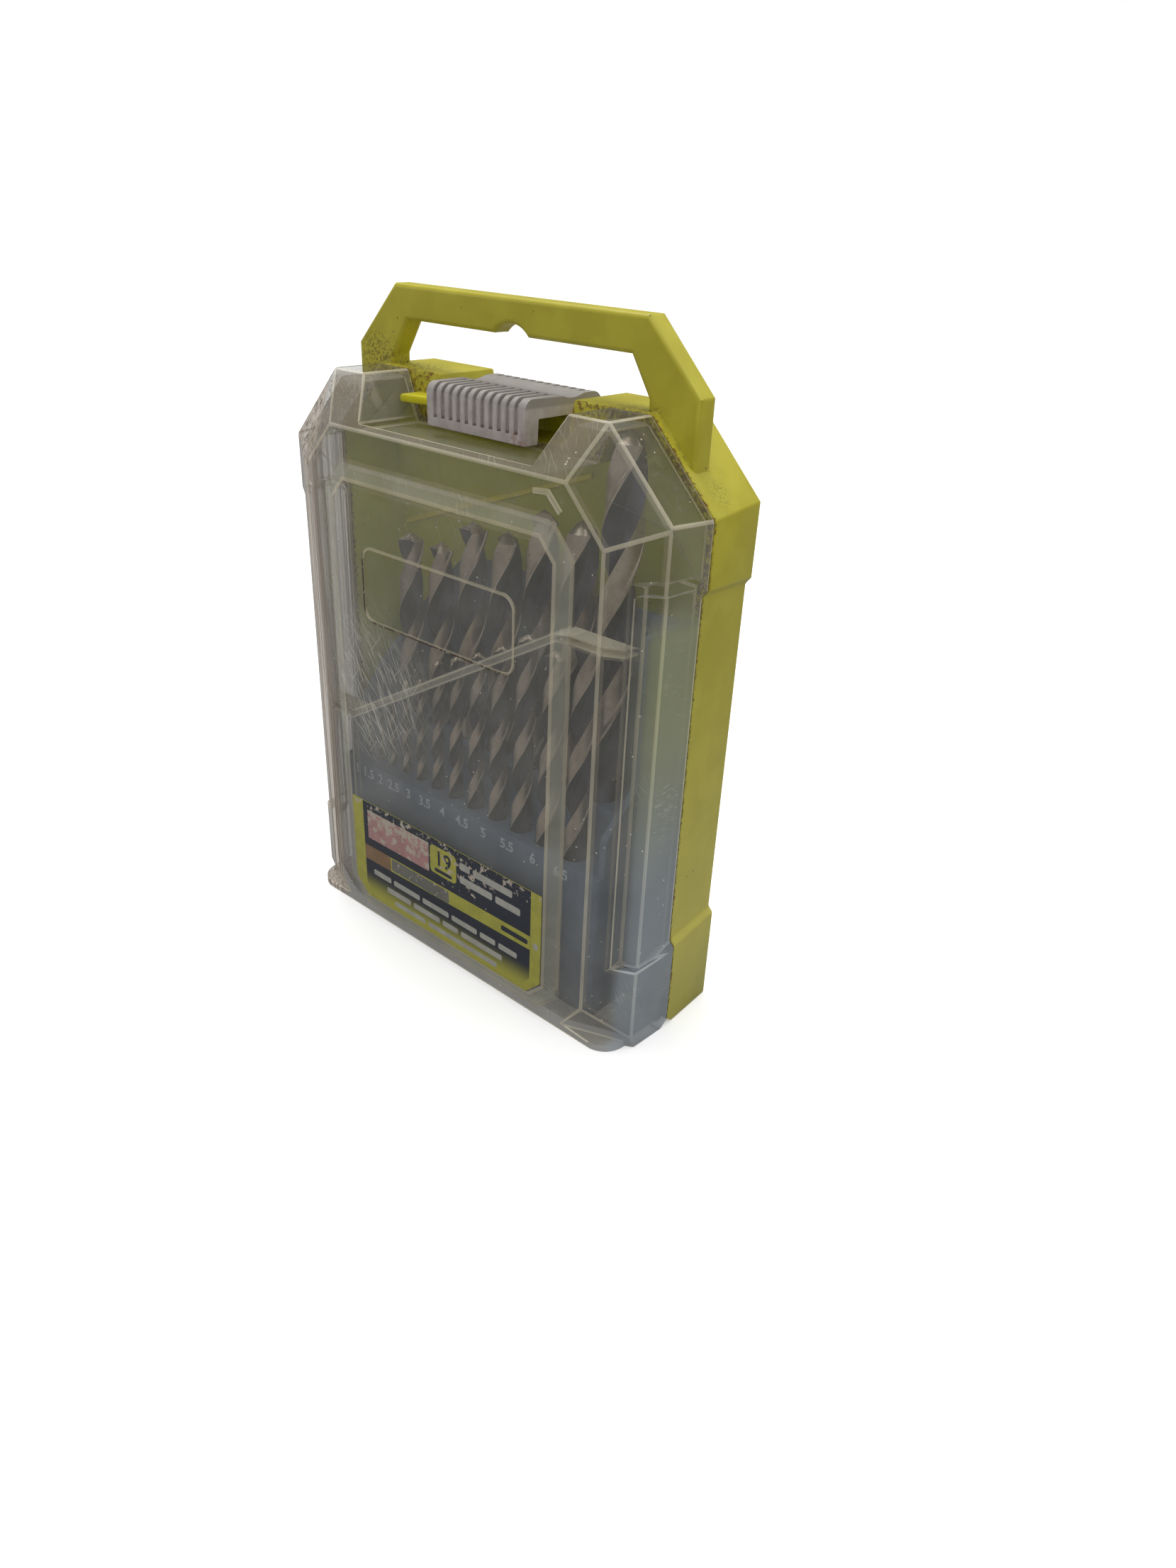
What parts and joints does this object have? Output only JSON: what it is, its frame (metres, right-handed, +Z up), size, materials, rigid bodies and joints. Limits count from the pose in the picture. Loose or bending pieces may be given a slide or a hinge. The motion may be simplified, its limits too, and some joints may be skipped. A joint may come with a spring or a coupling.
{
  "type": "drill bit case",
  "caption": "Hinged drill bit case: tray with handle, clear cover, flip latch and a tilting rack that holds twist drills in two rows.",
  "frame": {"origin": "centre of the outer box at the bottom faces that the closed case stands on", "axes": "+Z up along the case's height and along the closed case's longest side, -Y the clear front, +X to the right seen from the front"},
  "size_m": [0.128, 0.0432, 0.1765],
  "materials": {
    "shell_green": "moulded lime green, lightly worn",
    "cover_clear": "clear smoky moulding, scratched",
    "latch_grey": "light warm grey moulding",
    "rack_blue_grey": "dark blue-grey moulding",
    "drill_steel": "ground steel, lightly tarnished",
    "pin_steel": "drawn wire",
    "label_print": "printed film, worn"
  },
  "bodies": {
    "tray": {"back_shell": "shell_green", "hinge_pins": "pin_steel"},
    "cover": {"front_cover": "cover_clear", "label": "label_print"},
    "latch": {"latch": "latch_grey"},
    "rack": {"bit_rack": "rack_blue_grey", "drill_bit_1_0": "drill_steel", "drill_bit_1_5": "drill_steel", "drill_bit_2_0": "drill_steel", "drill_bit_2_5": "drill_steel", "drill_bit_3_0": "drill_steel", "drill_bit_3_5": "drill_steel", "drill_bit_4_0": "drill_steel", "drill_bit_4_5": "drill_steel", "drill_bit_5_0": "drill_steel", "drill_bit_5_5": "drill_steel", "drill_bit_6_0": "drill_steel", "drill_bit_6_5": "drill_steel", "drill_bit_7_0": "drill_steel", "drill_bit_7_5": "drill_steel", "drill_bit_8_0": "drill_steel", "drill_bit_8_5": "drill_steel", "drill_bit_9_0": "drill_steel", "drill_bit_9_5": "drill_steel", "drill_bit_10_0": "drill_steel"}
  },
  "joints": [
    {"name": "cover_hinge", "type": "hinge", "parent": "tray", "child": "cover", "pos_m": [0, 0.00165, 0.0023], "axis": [1, 0, 0], "range_deg": [0, 90]},
    {"name": "latch_hinge", "type": "hinge", "parent": "tray", "child": "latch", "pos_m": [0, 0.01515, 0.1498], "axis": [-1, 0, 0], "range_deg": [0, 38]},
    {"name": "rack_tilt", "type": "hinge", "parent": "tray", "child": "rack", "pos_m": [0, 0.00515, 0.0076], "axis": [1, 0, 0], "range_deg": [0, 22]}
  ],
  "couplings": [
    {"joint": "rack_tilt", "follows": "cover_hinge", "ratio": 0.2444}
  ]
}
